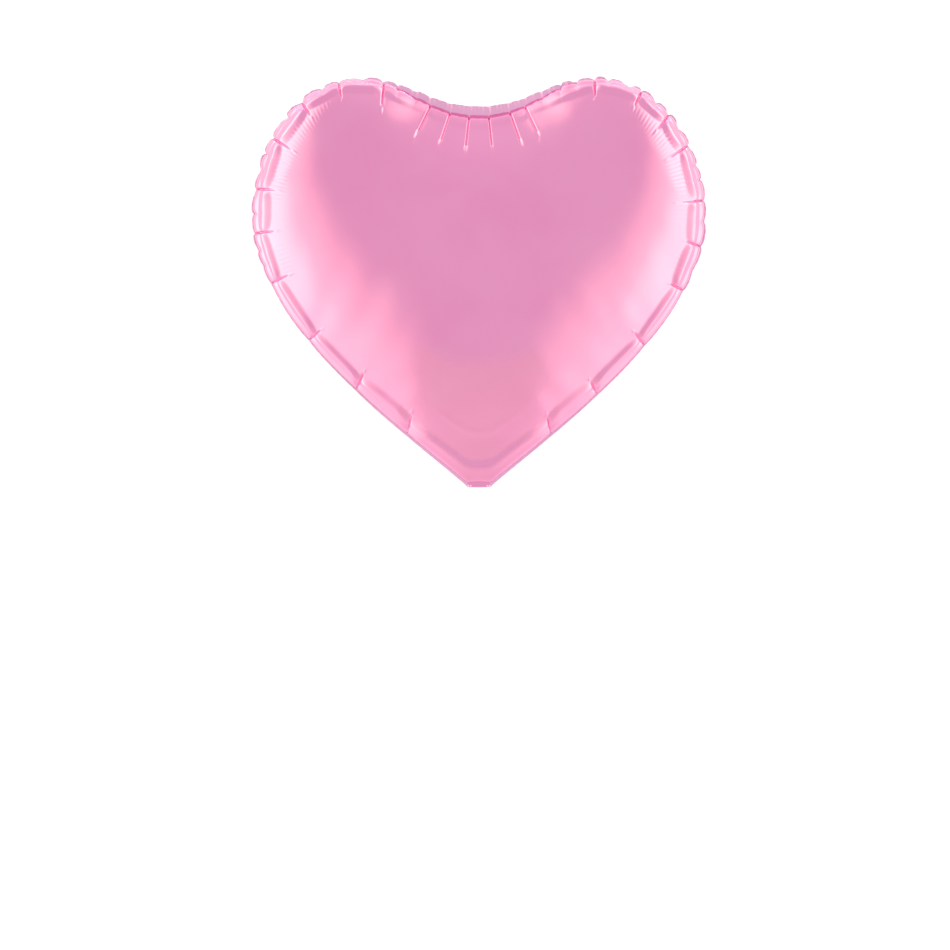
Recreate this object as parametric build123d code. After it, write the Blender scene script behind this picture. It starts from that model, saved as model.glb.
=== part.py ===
from build123d import *

import os
from math import cos, radians, sin

# Heart-shaped foil balloon: two domed film panels, their heat-sealed rim, and a folding neck
# with a flat valve. +Z is up and the front panel faces -Y. The origin is the middle of the
# blunt tip, where the neck folds and is tied. Film is far thinner than these solids: each
# thickness below stands in for it.

# ---- Driving dimensions, in millimetres ----
HALF_WIDTH = 200.0         # centre line to the outer edge of the rim, inflated
HEIGHT = 360.0             # neck fold to the lobe tops
HALF_DEPTH = 78.0          # seam plane to the crown of a panel
RIM_WIDTH = 8.0            # fused band outside the gas space
NECK_WIDTH = 25.0
NECK_LENGTH = 60.0         # from the fold to the mouth
NECK_SEAL_WIDTH = 3.0
NECK_FOLD_ANGLE = 42.0     # from straight up, leaning back over the back panel
MOUTH_GAPE = 10.0          # how far the two valve films stand apart at the mouth
VALVE_WIDTH = 17.0
VALVE_WELD_WIDTH = 1.5
VALVE_INSIDE_LENGTH = 70.0
VALVE_SETBACK = 3.0        # of the valve's end inside the mouth
FOLD_GAP = 3.5             # bare hinge between the rim and the neck's solids

# ---- Thicknesses that stand in for film ----
PANEL_FILM = 0.5
PLY_FILM = 0.4
VALVE_FILM = 0.2
RIM_THICKNESS = 1.0
LAP = 0.4                  # how far the rim reaches in under the panel walls
SLOT_CLEARANCE = 0.05
FLAT_BULGE = 0.3           # the least bow of a film across the neck
FLARE_POWER = 1.3          # how late the neck opens on its way to the mouth

# ---- The heart's outline: shares of the sizes above ----
LOBE_TOP_X = 0.52 * HALF_WIDTH
SHOULDER_Z = 0.66 * HEIGHT             # level of the greatest width
CLEFT_DEPTH = 0.066 * 2 * HALF_WIDTH
CLEFT_HANDLE = 45.0                    # length of the flat run at the cleft's bottom
LOBE_HANDLE = 42.0                     # how gently the lobe top turns down into the cleft
SIDE_HANDLE = 98.0                     # how far the side stays upright below the shoulder
TIP_HANDLE = 56.0                      # how far the side runs straight into the tip
TIP_HALF_WIDTH = 10.0
TIP_ANGLE = 48.0                       # of the side from upright, at the tip
ELLIPSE = 0.5523                       # handle of a Bezier quarter ellipse
TIP_RISE = 1.35                        # an inset outline's tip climbs this much per millimetre of inset

# ---- How each panel rounds over: 2 is an ellipse, less is a cone-like slope, more is a steep wall ----
CROWN_Z = 205.0
TIP_ROUNDING = 1.5
SIDE_ROUNDING = 2.0
LOBE_ROUNDING = 2.2
CLEFT_ROUNDING = 2.6
LEVELS = (0.0, 0.14, 0.28, 0.42, 0.56, 0.69, 0.80, 0.89, 0.95, 0.98, 0.995)

SEAM_INSET = RIM_WIDTH
RIM_HALF = RIM_THICKNESS / 2
PLY_START = VALVE_FILM + SLOT_CLEARANCE
FLARE_STATIONS = 5
STANDING = (Align.CENTER, Align.CENTER, Align.MIN)


def outline_rows(inset):
    """The right half, cleft to tip, as (x, z, rounding) rows of three Bezier curves end to end."""
    width = HALF_WIDTH - inset
    top = HEIGHT - inset
    cleft = HEIGHT - CLEFT_DEPTH - inset
    tip = TIP_RISE * inset
    lobe_reach = width - LOBE_TOP_X
    lobe_drop = top - SHOULDER_Z
    return [
        (0.0, cleft, CLEFT_ROUNDING),
        (CLEFT_HANDLE, cleft, CLEFT_ROUNDING),
        (LOBE_TOP_X - LOBE_HANDLE, top, LOBE_ROUNDING),
        (LOBE_TOP_X, top, LOBE_ROUNDING),
        (LOBE_TOP_X + ELLIPSE * lobe_reach, top, LOBE_ROUNDING),
        (width, SHOULDER_Z + ELLIPSE * lobe_drop, SIDE_ROUNDING),
        (width, SHOULDER_Z, SIDE_ROUNDING),
        (width, SHOULDER_Z - SIDE_HANDLE, SIDE_ROUNDING),
        (
            TIP_HALF_WIDTH + TIP_HANDLE * sin(radians(TIP_ANGLE)),
            tip + TIP_HANDLE * cos(radians(TIP_ANGLE)),
            TIP_ROUNDING,
        ),
        (TIP_HALF_WIDTH, tip, TIP_ROUNDING),
    ]


def heart_face(inset, level=0.0, depth=0.0):
    """The heart as a face in the plane y = depth, drawn in towards the crown as level goes from 0 to 1."""
    points = []
    for x, z, rounding in outline_rows(inset):
        share = (1.0 - level**rounding) ** (1.0 / rounding)
        points.append((x * share, CROWN_Z + (z - CROWN_Z) * share))
    right = [Vector(x, depth, z) for x, z in points]
    left = [Vector(-x, depth, z) for x, z in points]
    edges = [Bezier(*right[i : i + 4]) for i in (0, 3, 6)]
    edges.append(Line(right[-1], left[-1]))
    edges += [Bezier(*reversed(left[i : i + 4])) for i in (6, 3, 0)]
    return Face(Wire(edges))


def dome(inset, half_depth):
    """A solid dome on the heart outline, from the rim's back face to a small flat crown at half_depth."""
    rise = (half_depth - RIM_HALF) / LEVELS[-1]
    return loft([heart_face(inset, level, RIM_HALF + rise * level) for level in LEVELS])


def back_panel():
    """The back sheet, domed: an outer dome with an inner one taken out."""
    return dome(SEAM_INSET, HALF_DEPTH) - dome(SEAM_INSET + PANEL_FILM, HALF_DEPTH - PANEL_FILM)


def heat_seal_rim():
    """The flat fused band round the heart, slotted at the tip where the valve passes."""
    outer = extrude(heart_face(0.0, depth=-RIM_HALF), amount=RIM_THICKNESS, dir=(0, 1, 0))
    inner = extrude(
        heart_face(SEAM_INSET + PANEL_FILM + LAP, depth=-RIM_THICKNESS),
        amount=2 * RIM_THICKNESS,
        dir=(0, 1, 0),
    )
    slot_width = VALVE_WIDTH + 2 * SLOT_CLEARANCE
    slot = Box(slot_width, 2 * PLY_START, 4 * RIM_WIDTH)
    return outer - inner - slot


def valve_inside(side):
    """One clear film of the valve, from the tip up into the gas space; side is -1 in front and 1 behind."""
    film_width = VALVE_WIDTH - 2 * VALVE_WELD_WIDTH
    film = Box(film_width, VALVE_FILM, VALVE_INSIDE_LENGTH, align=STANDING)
    return Pos(0, side * VALVE_FILM / 2, 0) * film


def edge_strips(width, strip_width, thickness, low, high):
    """Two upright strips, one along each edge of a flat tube of that width."""
    strip = Box(strip_width, thickness, high - low, align=STANDING)
    x = (width - strip_width) / 2
    return Compound([Pos(x, 0, low) * strip, Pos(-x, 0, low) * strip])


def gape(height):
    """How far one side of the neck has bowed away from its middle plane at a height above the fold."""
    share = (height - FOLD_GAP) / (NECK_LENGTH - FOLD_GAP)
    return FLAT_BULGE + (MOUTH_GAPE / 2 - FLAT_BULGE) * share**FLARE_POWER


def bowed_film(half_width, start, film, side, top):
    """A film across the neck, flat at the fold and bowed outward at the mouth."""
    sections = []
    for i in range(FLARE_STATIONS):
        z = FOLD_GAP + (top - FOLD_GAP) * i / (FLARE_STATIONS - 1)
        near = side * start
        far = side * (start + film)
        bow = side * gape(z)
        inner = ThreePointArc((-half_width, near, z), (0, near + bow, z), (half_width, near, z))
        outer = ThreePointArc((half_width, far, z), (0, far + bow, z), (-half_width, far, z))
        right = Line((half_width, near, z), (half_width, far, z))
        left = Line((-half_width, far, z), (-half_width, near, z))
        sections.append(Face(Wire([inner, right, outer, left])))
    return loft(sections)


def neck_ply(side):
    """The tail of one panel, between the side seals."""
    return bowed_film(NECK_WIDTH / 2 - NECK_SEAL_WIDTH, PLY_START, PLY_FILM, side, NECK_LENGTH)


def valve_in_neck(side):
    """One clear film of the valve, inside the neck."""
    half_width = VALVE_WIDTH / 2 - VALVE_WELD_WIDTH
    return bowed_film(half_width, 0.0, VALVE_FILM, side, NECK_LENGTH - VALVE_SETBACK)


def folded(shape):
    """Turns a neck piece, built upright, back over the fold."""
    return Rot(-NECK_FOLD_ANGLE, 0, 0) * shape


def balloon():
    """Every sub-part by its node name."""
    back = back_panel()
    return {
        "front_panel": back.mirror(Plane.XZ),
        "back_panel": back,
        "heat_seal_rim": heat_seal_rim(),
        "valve_inside_front_film": valve_inside(-1),
        "valve_inside_back_film": valve_inside(1),
        "valve_inside_side_welds": edge_strips(
            VALVE_WIDTH, VALVE_WELD_WIDTH, 2 * VALVE_FILM, 0, VALVE_INSIDE_LENGTH
        ),
        "neck_front_ply": folded(neck_ply(-1)),
        "neck_back_ply": folded(neck_ply(1)),
        "neck_side_seals": folded(
            edge_strips(NECK_WIDTH, NECK_SEAL_WIDTH, 2 * (PLY_START + PLY_FILM), FOLD_GAP, NECK_LENGTH)
        ),
        "valve_neck_front_film": folded(valve_in_neck(-1)),
        "valve_neck_back_film": folded(valve_in_neck(1)),
        "valve_neck_side_welds": folded(
            edge_strips(
                VALVE_WIDTH, VALVE_WELD_WIDTH, 2 * VALVE_FILM, FOLD_GAP, NECK_LENGTH - VALVE_SETBACK
            )
        ),
    }


def main():
    """Writes one STEP file per sub-part."""
    os.makedirs("parts", exist_ok=True)
    for name, shape in balloon().items():
        export_step(shape, f"parts/{name}.step")


main()
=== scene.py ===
"""Heart-shaped foil balloon: inflated film panels, a gathered heat seal, a folded neck and a valve.

The panels are one heart-cut sheet each, blown up against a seam that the gas pulls in to its inflated
outline. The film that the seam no longer needs shows as creases, pillows, fine ribs and the petals of
the seal.
Metres throughout; +Z is up, the front panel faces -Y and the neck folds at the origin.
"""
import functools
import math

import bpy
import numpy as np
from bpy.props import FloatProperty, FloatVectorProperty, IntProperty, PointerProperty
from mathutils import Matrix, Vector
from mathutils.bvhtree import BVHTree
from mathutils.geometry import delaunay_2d_cdt


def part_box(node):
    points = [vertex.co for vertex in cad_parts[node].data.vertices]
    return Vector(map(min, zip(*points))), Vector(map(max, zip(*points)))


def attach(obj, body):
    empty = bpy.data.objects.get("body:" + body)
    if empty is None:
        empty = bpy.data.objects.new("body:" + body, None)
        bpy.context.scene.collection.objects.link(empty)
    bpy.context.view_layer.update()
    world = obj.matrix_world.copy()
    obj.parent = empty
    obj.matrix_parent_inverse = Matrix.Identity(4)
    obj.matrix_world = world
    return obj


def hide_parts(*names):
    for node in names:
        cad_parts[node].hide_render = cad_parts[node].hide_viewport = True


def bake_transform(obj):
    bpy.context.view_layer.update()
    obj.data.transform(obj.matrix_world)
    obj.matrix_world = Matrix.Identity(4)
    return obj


bl_info = {
    "name": "Heart Foil Balloon",
    "version": (1, 0, 0),
    "blender": (4, 5, 0),
    "location": "View3D > Sidebar > Balloon",
    "description": "Builds an inflated heart-shaped foil balloon round its packed frame",
    "category": "Object",
}

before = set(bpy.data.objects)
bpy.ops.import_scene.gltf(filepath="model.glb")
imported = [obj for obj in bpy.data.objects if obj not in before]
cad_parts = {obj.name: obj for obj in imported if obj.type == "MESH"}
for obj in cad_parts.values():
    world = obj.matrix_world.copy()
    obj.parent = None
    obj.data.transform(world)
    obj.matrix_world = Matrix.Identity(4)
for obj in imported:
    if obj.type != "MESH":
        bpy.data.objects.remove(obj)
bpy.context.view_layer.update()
MM = 0.001
TINY = 1e-18               # these two keep a division by nought away
NO_LENGTH = 1e-12

# ---- Sizes that the frame gives ----
HALF_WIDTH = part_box("heat_seal_rim")[1].x
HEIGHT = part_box("heat_seal_rim")[1].z
HALF_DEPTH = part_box("back_panel")[1].y
SEAL_WIDTH = HALF_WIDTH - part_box("back_panel")[1].x
NECK_HALF_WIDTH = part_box("neck_side_seals")[1].x
VALVE_HALF_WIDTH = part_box("valve_inside_side_welds")[1].x
VALVE_INSIDE_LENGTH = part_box("valve_inside_side_welds")[1].z
VALVE_WELD_WIDTH = VALVE_HALF_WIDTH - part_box("valve_inside_back_film")[1].x

# ---- The heart's outline, as shares of those sizes ----
LOBE_TOP_SHARE = 0.52
SHOULDER_SHARE = 0.66
CLEFT_SHARE = 0.132
CLEFT_HANDLE = 45 * MM
TIP_HALF_WIDTH = 10 * MM
TIP_ANGLE = math.radians(48)
TIP_HANDLE = 56 * MM       # of the curves up from the tip, into the side and off the lobe
SIDE_HANDLE = 98 * MM
LOBE_HANDLE = 42 * MM
TIP_RISE = 1.35            # an inset outline's tip climbs this much per unit of inset
ELLIPSE = 0.5523           # handle of a Bezier quarter ellipse
STRETCHES = 8              # of the outline: tip, side, lobe, cleft, and the same mirrored
CLEFT = 4.0                # the station at the bottom of the cleft
CURVE_POINTS = 160
OUTWARD_STEP = 0.012       # stations either side over which the outward way is measured


def heart(half_width, height, shoulder, cleft_depth, lobe_top, cleft_handle):
    """The sizes of one heart outline."""
    return {
        "half_width": half_width,
        "height": height,
        "shoulder": shoulder,
        "cleft": height - cleft_depth,
        "lobe_top": lobe_top,
        "cleft_handle": cleft_handle,
        "tip": 0.0,
        "grown": height / HEIGHT,
    }


def inset(sizes, distance):
    """The same heart drawn in by a distance all round."""
    drawn = dict(sizes)
    drawn["half_width"] -= distance
    drawn["height"] -= distance
    drawn["cleft"] -= distance
    drawn["tip"] += TIP_RISE * distance
    return drawn


def bezier(start, leave, arrive, end):
    """Points along one cubic curve."""
    t = np.linspace(0, 1, CURVE_POINTS)[:, None]
    start, leave, arrive, end = (np.array(p, float) for p in (start, leave, arrive, end))
    left = 1 - t
    return left**3 * start + 3 * left**2 * t * leave + 3 * left * t * t * arrive + t**3 * end


class Outline:
    """A closed heart loop from the middle of the tip, up the right side and round: stations 0 to 8."""

    def __init__(self, sizes):
        wide, top, tip = sizes["half_width"], sizes["height"], sizes["tip"]
        shoulder, cleft, lobe = sizes["shoulder"], sizes["cleft"], sizes["lobe_top"]
        grown = sizes["grown"]
        rise = TIP_HANDLE * grown * math.cos(TIP_ANGLE)
        run = TIP_HANDLE * grown * math.sin(TIP_ANGLE)
        right = [
            np.linspace((0, tip), (TIP_HALF_WIDTH, tip), 20),
            bezier(
                (TIP_HALF_WIDTH, tip),
                (TIP_HALF_WIDTH + run, tip + rise),
                (wide, shoulder - SIDE_HANDLE * grown),
                (wide, shoulder),
            ),
            bezier(
                (wide, shoulder),
                (wide, shoulder + ELLIPSE * (top - shoulder)),
                (lobe + ELLIPSE * (wide - lobe), top),
                (lobe, top),
            ),
            bezier(
                (lobe, top),
                (lobe - LOBE_HANDLE * grown, top),
                (sizes["cleft_handle"], cleft),
                (0, cleft),
            ),
        ]
        self.parts = right + [part[::-1] * [-1, 1] for part in right[::-1]]
        self.runs = [np.r_[0, np.cumsum(np.hypot(*np.diff(part, axis=0).T))] for part in self.parts]
        self.lengths = np.array([run[-1] for run in self.runs])
        self.starts = np.r_[0, np.cumsum(self.lengths)]

    def at(self, stations):
        """The points (x, z) at these stations."""
        stations = np.asarray(stations, float) % STRETCHES
        which = np.minimum(stations.astype(int), STRETCHES - 1)
        points = np.zeros((len(stations), 2))
        for i in range(STRETCHES):
            mine = which == i
            along = (stations[mine] - i) * self.lengths[i]
            points[mine, 0] = np.interp(along, self.runs[i], self.parts[i][:, 0])
            points[mine, 1] = np.interp(along, self.runs[i], self.parts[i][:, 1])
        return points

    def station(self, distance):
        """The stations at these distances along the loop."""
        which = np.clip(np.searchsorted(self.starts, distance, side="right") - 1, 0, STRETCHES - 1)
        return which + (distance - self.starts[which]) / self.lengths[which]

    def distance(self, stations):
        """The distances along the loop of these stations."""
        which = np.clip(np.asarray(stations).astype(int), 0, STRETCHES - 1)
        return self.starts[which] + (stations - which) * self.lengths[which]

    def out(self, stations):
        """Unit vectors that point straight out of the loop there."""
        along = self.at(stations + OUTWARD_STEP) - self.at(stations - OUTWARD_STEP)
        along /= np.linalg.norm(along, axis=1)[:, None]
        return np.c_[along[:, 1], -along[:, 0]]


def by_station(stations, rows):
    """A value that changes along the loop, from (station, value) rows for the right half, left alike."""
    folded = np.where(stations > CLEFT, STRETCHES - stations, stations)
    where, value = zip(*rows)
    return np.interp(folded, where, value)


def eased(value, low, high):
    """0 below low, 1 above high, and smooth between."""
    t = np.clip((value - low) / (high - low), 0, 1)
    return t * t * (3 - 2 * t)


INFLATED = heart(
    HALF_WIDTH,
    HEIGHT,
    SHOULDER_SHARE * HEIGHT,
    CLEFT_SHARE * HALF_WIDTH,
    LOBE_TOP_SHARE * HALF_WIDTH,
    CLEFT_HANDLE,
)
CUT = heart(226 * MM, 415 * MM, 272 * MM, 30 * MM, 114 * MM, 50 * MM)
SEAL_SHOWN = 0.45 * SEAL_WIDTH         # the gas rolls the panels out over the rest
GAS = inset(INFLATED, SEAL_SHOWN)
GAS["cleft"] -= SEAL_WIDTH - SEAL_SHOWN    # the whole seal shows in the cleft
SEAM = Outline(GAS)
SEAM_LENGTH = SEAM.starts[-1]


def colour_choice(name, description, colour):
    """A colour that a user may change."""
    return FloatVectorProperty(
        name=name, description=description, subtype="COLOR", size=4, min=0, max=1, default=(*colour, 1)
    )


def length_choice(name, description, default):
    """A length that a user may change."""
    return FloatProperty(
        name=name, description=description, default=default, min=0, subtype="DISTANCE", unit="LENGTH"
    )


class BalloonFilm(bpy.types.PropertyGroup):
    """Colour and finish of the film."""

    pink: colour_choice("Film colour", "Tint of the metallised film", (0.937, 0.368, 0.628))
    shade: colour_choice("Film shade", "Tint where the coating is a little heavier", (0.917, 0.332, 0.598))
    seal: colour_choice("Seal colour", "Tint of the fused band, pressed milky", (0.985, 0.500, 0.770))
    valve: colour_choice("Valve colour", "Tint of the clear valve film", (0.86, 0.88, 0.90))
    roughness: FloatProperty(
        name="Film roughness", description="Sharpness of the reflections", default=0.17, min=0, max=1
    )


class BalloonShape(bpy.types.PropertyGroup):
    """How the film wrinkles where the seam gathers it."""

    seed: IntProperty(name="Seed", description="Draw of the creases and petals", default=11, min=0)
    crease_depth: length_choice("Crease depth", "Depth of the creases in from the seam", 1.7 * MM)
    pillow_height: length_choice("Pillow height", "Swell of the film between two creases", 3.0 * MM)
    petal_depth: length_choice("Petal depth", "Depth of the notches between the seal's petals", 2.8 * MM)
    rib_height: length_choice("Rib height", "Height of the fine ribs on the lobes' shoulders", 0.3 * MM)


# ---- Inflation: a heart-cut sheet, its edge drawn in to the seam and its middle blown up ----

SHEET_STEP = 6 * MM
FINE_BORDER = 50 * MM
INFLATE_STEPS = 700
EDGE_MOVES = 300           # steps that the edge takes to reach the seam
PRESSURE = 0.02
DRAG = 0.99
BENDING = 0.1
PRESSURE_EVERY, BENDING_EVERY = 4, 2       # steps between their updates
START_LIFT, START_SLOPE = 0.6 * MM, 0.15   # the sheet's first height at its edge, and its rise
SHEET_SEED = 3
NEAREST_BATCH, INSIDE_BATCH = 2000, 4000   # points handled at a time


def nearest(points, line):
    """Distance from each point to the nearest of a line's points, and which that is."""
    distance = np.zeros(len(points))
    which = np.zeros(len(points), int)
    for k in range(0, len(points), NEAREST_BATCH):
        batch = slice(k, k + NEAREST_BATCH)
        gaps = ((points[batch, None] - line[None]) ** 2).sum(2)
        pick = gaps.argmin(1)
        which[batch] = pick
        distance[batch] = np.sqrt(gaps[np.arange(len(pick)), pick])
    return distance, which


def inside(points, loop):
    """Which points lie inside a closed loop."""
    x0, y0 = loop.T
    x1, y1 = np.roll(loop, -1, 0).T
    found = np.zeros(len(points), bool)
    for k in range(0, len(points), INSIDE_BATCH):
        batch = slice(k, k + INSIDE_BATCH)
        x, y = points[batch].T[:, :, None]
        crossed = ((y0 > y) != (y1 > y)) & (x < (x1 - x0) * (y - y0) / (y1 - y0 + TINY) + x0)
        found[batch] = crossed.sum(1) % 2 == 1
    return found


def lattice(loop, step, border, rng):
    """Points of a triangular lattice inside a loop, every second one only beyond the border."""
    low, high = loop.min(0), loop.max(0)
    row, column = np.meshgrid(
        np.arange(int((high[1] - low[1]) / (step * math.sqrt(3) / 2)) + 2),
        np.arange(int((high[0] - low[0]) / step) + 2),
        indexing="ij",
    )
    x = low[0] + step * (column + 0.5 * (row % 2))
    z = low[1] + step * math.sqrt(3) / 2 * row
    points = np.c_[x.ravel(), z.ravel()]
    coarse = ((row % 2 == 0) & ((column + (row // 2) % 2) % 2 == 0)).ravel()
    kept = inside(points, loop)
    points, coarse = points[kept], coarse[kept]
    distance, _ = nearest(points, loop)
    kept = (distance > 0.75 * step) & ((distance < border) | coarse)
    return points[kept] + rng.normal(0, 0.06 * step, (kept.sum(), 2))


def triangulated(loop, points):
    """The points of a loop, the ones inside it, and the triangles between them all, in one sense."""
    count = len(loop)
    corners = [Vector(p) for p in np.vstack([loop, points])]
    border = [(i, (i + 1) % count) for i in range(count)]
    result = delaunay_2d_cdt(corners, border, [], 1, 1e-9)
    flat = np.array([tuple(v) for v in result[0]])
    faces = np.array(result[2])
    a, b, c = flat[faces[:, 0]], flat[faces[:, 1]], flat[faces[:, 2]]
    ab, ac = b - a, c - a
    turned = ab[:, 0] * ac[:, 1] - ab[:, 1] * ac[:, 0] < 0
    faces[turned] = faces[turned][:, ::-1]
    return flat, faces


def edges_of(faces):
    """Each edge once."""
    pairs = np.vstack([faces[:, [0, 1]], faces[:, [1, 2]], faces[:, [2, 0]]])
    pairs.sort(1)
    return np.unique(pairs, axis=0)


def edge_groups(edges, count, rng):
    """Edges sorted into groups that share no point, so that a whole group can be pulled at once."""
    left = np.arange(len(edges))
    groups = []
    while len(left):
        rest = rng.permutation(left)
        taken = np.zeros(0, int)
        used = np.zeros(count, bool)
        for _ in range(8):
            free = rest[~used[edges[rest, 0]] & ~used[edges[rest, 1]]]
            if not len(free):
                break
            first = np.full(count, len(free) + 1)
            rank = np.arange(len(free))
            np.minimum.at(first, edges[free, 0], rank)
            np.minimum.at(first, edges[free, 1], rank)
            won = (first[edges[free, 0]] == rank) & (first[edges[free, 1]] == rank)
            taken = np.r_[taken, free[won]]
            used[edges[free[won]].ravel()] = True
            rest = free[~won]
        groups.append(taken)
        left = np.setdiff1d(left, taken, assume_unique=True)
    return groups


def summed(faces, values, count):
    """Face values added up at their corners."""
    corners = faces.ravel()
    return np.stack([np.bincount(corners, np.repeat(values[:, k], 3), count) for k in range(3)], 1)


def inflated_sheet():
    """One panel: its points once blown up, bulging towards +Y, and its triangles."""
    rng = np.random.default_rng(SHEET_SEED)
    cut = Outline(inset(CUT, SEAL_WIDTH))
    count = int(round(cut.starts[-1] / SHEET_STEP))
    stations = cut.station(np.arange(count) * cut.starts[-1] / count)
    loop = cut.at(stations)
    flat, faces = triangulated(loop, lattice(loop, SHEET_STEP, FINE_BORDER, rng))
    flat[:, 1] -= (CUT["height"] - HEIGHT) / 2
    total = len(flat)
    edges = edges_of(faces)
    lengths = np.linalg.norm(flat[edges[:, 0]] - flat[edges[:, 1]], axis=1)
    groups = [(*edges[g].T, lengths[g]) for g in edge_groups(edges, total, rng)]
    degree = np.bincount(edges.ravel(), minlength=total)[:, None]
    distance, _ = nearest(flat, flat[:count])
    now = np.c_[flat[:, 0], START_LIFT + START_SLOPE * distance, flat[:, 1]]
    start, goal = flat[:count], SEAM.at(stations)
    speed = np.zeros_like(now)
    ends = edges.ravel()
    others = edges[:, ::-1].ravel()

    def smoothing(values):
        """How far each point stands off the mean of its neighbours."""
        sums = np.stack([np.bincount(ends, values[others, k], total) for k in range(3)], 1)
        return sums / degree - values

    for step in range(INFLATE_STEPS):
        if step % PRESSURE_EVERY == 0:
            a, b, c = now[faces[:, 0]], now[faces[:, 1]], now[faces[:, 2]]
            push = -PRESSURE * summed(faces, np.cross(b - a, c - a) / 6, total)
        bend = -BENDING * smoothing(smoothing(now)) if step % BENDING_EVERY == 0 else 0.0
        speed = speed * DRAG + push
        moved = now + speed + bend
        for i, j, length in groups:
            gap = moved[j] - moved[i]
            long = np.sqrt(np.einsum("ij,ij->i", gap, gap))
            gap *= (np.maximum(long - length, 0) / long * 0.5)[:, None]
            moved[i] += gap
            moved[j] -= gap
        share = eased(step + 1, 0, EDGE_MOVES)
        moved[:count, [0, 2]] = start * (1 - share) + goal * share
        moved[:count, 1] = 0
        speed = moved - now - bend
        now = moved
    return now, faces


# ---- The inflated height as a smooth field over the seam plane ----

FIELD_STEP = 3 * MM
FIELD_MARGIN = 6 * FIELD_STEP
FIELD_BLURS = 3
SEAM_POINTS = 1600
TIP_SLOPE = 0.70           # the film at the tip stays within this cone, clear of the folded neck
TIP_SHARPNESS = 6
ANCHOR_REACH = 12 * MM
CROWN_ROOM = 1 * MM        # of the half depth, left for the film's unevenness


def lesser(a, b, sharpness):
    """The smaller of two values, rounded off where they cross."""
    return a * b / (a**sharpness + b**sharpness + 1e-30) ** (1 / sharpness)


class Dome:
    """Half thickness of the balloon at any (x, z): the inflated sheet without its facets."""

    def __init__(self, points, faces):
        square = [Vector((x, z, y * y)) for x, y, z in points]
        tree = BVHTree.FromPolygons(square, faces.tolist())
        loop = SEAM.at(SEAM.station(np.linspace(0, SEAM_LENGTH, SEAM_POINTS, endpoint=False)))
        self.low = loop.min(0) - FIELD_MARGIN
        size = np.ceil((loop.max(0) + FIELD_MARGIN - self.low) / FIELD_STEP).astype(int) + 1
        i, j = np.meshgrid(np.arange(size[0]), np.arange(size[1]), indexing="ij")
        nodes = self.low + FIELD_STEP * np.c_[i.ravel(), j.ravel()]
        within = inside(nodes, loop)
        _, near = nearest(nodes, loop)
        mirrored = np.where(within[:, None], nodes, 2 * loop[near] - nodes)
        values = np.zeros(len(nodes))
        down = Vector((0, 0, -1))
        for k, (x, z) in enumerate(mirrored):
            hit = tree.ray_cast(Vector((x, z, 1)), down)[0]
            values[k] = hit.z if hit else 0.0
        field = np.where(within, values, -values).reshape(size)
        for _ in range(FIELD_BLURS):
            field = self.blurred(self.blurred(field).T).T
        self.field = field
        self.scale = 1.0

    @staticmethod
    def blurred(field):
        """The field smoothed over five nodes along its first axis."""
        wide = np.pad(field, ((2, 2), (0, 0)), "edge")
        return (wide[:-4] + 4 * wide[1:-3] + 6 * wide[2:-2] + 4 * wide[3:-1] + wide[4:]) / 16

    def square(self, points):
        """The field at points, by a cubic B-spline over its nodes."""
        place = (points - self.low) / FIELD_STEP
        cell = np.clip(np.floor(place).astype(int), 1, np.array(self.field.shape) - 3)
        t = place - cell
        weights = np.stack(
            [(1 - t) ** 3, 3 * t**3 - 6 * t**2 + 4, -3 * t**3 + 3 * t**2 + 3 * t + 1, t**3], 0
        ) / 6
        total = np.zeros(len(points))
        for a in range(4):
            for b in range(4):
                value = self.field[cell[:, 0] + a - 1, cell[:, 1] + b - 1]
                total += weights[a, :, 0] * weights[b, :, 1] * value
        return total

    def depth(self, points, feet, reach):
        """Half thickness at points that stand in from the seam's points feet by reach."""
        held = self.square(feet) * np.clip(1 - reach / ANCHOR_REACH, 0, 1) ** 2
        height = self.scale * np.sqrt(np.maximum(self.square(points) - held, 0))
        return lesser(height, TIP_SLOPE * np.maximum(points[:, 1], 1e-6), TIP_SHARPNESS)


# ---- Where the seam gathers the film ----

CREASE_ROWS = ((1.0, 66 * MM), (1.6, 56 * MM), (2.0, 44 * MM), (2.4, 38 * MM), (3.3, 34 * MM))
CLEFT_PITCH = 17 * MM
PETAL_PITCH = 17 * MM
FIRST_CREASE, LAST_CREASE = 1.22, 3.36
FIRST_PETAL = 1.72
# each row: station, and the pitch, depth, reach or strength there
NOTCH_ROWS = (
    (1.0, 0.02), (1.5, 0.08), (1.8, 0.35), (2.1, 0.8), (2.4, 1.0), (3.2, 1.0), (3.5, 0.3), (4.0, 0.15)
)
REACH_ROWS = (
    (1.0, 12 * MM), (1.7, 16 * MM), (2.3, 22 * MM), (3.2, 22 * MM), (3.5, 44 * MM), (4.0, 48 * MM)
)
GATHER_ROWS = ((1.0, 0.45), (1.6, 0.7), (2.1, 1.0), (3.2, 1.0), (3.5, 0.85), (4.0, 0.8))
FAN_CREASES = 6            # across the cleft
FAN_JITTER = 2 * MM
PETAL_ROUND = 3.4          # the higher, the flatter a petal's outer edge


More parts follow.
